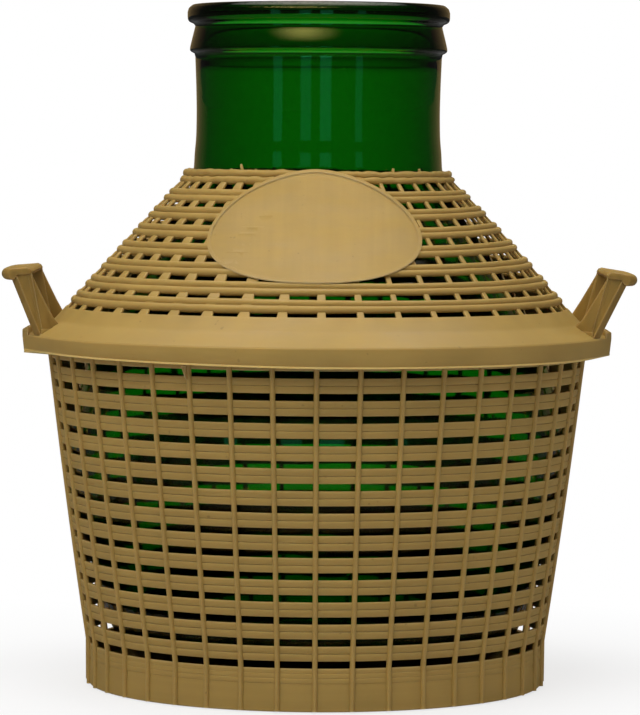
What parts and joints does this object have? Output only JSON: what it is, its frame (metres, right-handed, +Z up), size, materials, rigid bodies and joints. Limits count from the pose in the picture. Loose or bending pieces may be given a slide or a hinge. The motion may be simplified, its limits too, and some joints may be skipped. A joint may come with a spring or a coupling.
{
  "type": "plastic-covered demijohn",
  "caption": "Wide-mouthed green glass demijohn in a tan moulded lattice basket, with a conical lattice cover, a bare badge plate and carrying handles at the sides.",
  "frame": {"origin": "middle of the foot, on the surface that the basket stands on", "axes": "+Z up through the mouth, -Y towards the badge, +X towards the right handle seen from the front"},
  "size_m": [0.332, 0.298, 0.3538],
  "materials": {
    "tan_plastic": "semi-matt moulded polyethylene",
    "green_glass": "clear deep green bottle glass"
  },
  "bodies": {
    "basket": {"lower_basket": "tan_plastic"},
    "bottle": {"glass_bottle": "green_glass"},
    "cover": {"upper_cover": "tan_plastic", "right_handle": "tan_plastic", "left_handle": "tan_plastic"}
  },
  "joints": [
    {"name": "bottle_lift", "type": "slide", "parent": "basket", "child": "bottle", "axis": [0, 0, 1], "range_m": [0, 0.18]},
    {"name": "cover_lift", "type": "slide", "parent": "bottle", "child": "cover", "axis": [0, 0, 1], "range_m": [0, 0.19]}
  ]
}
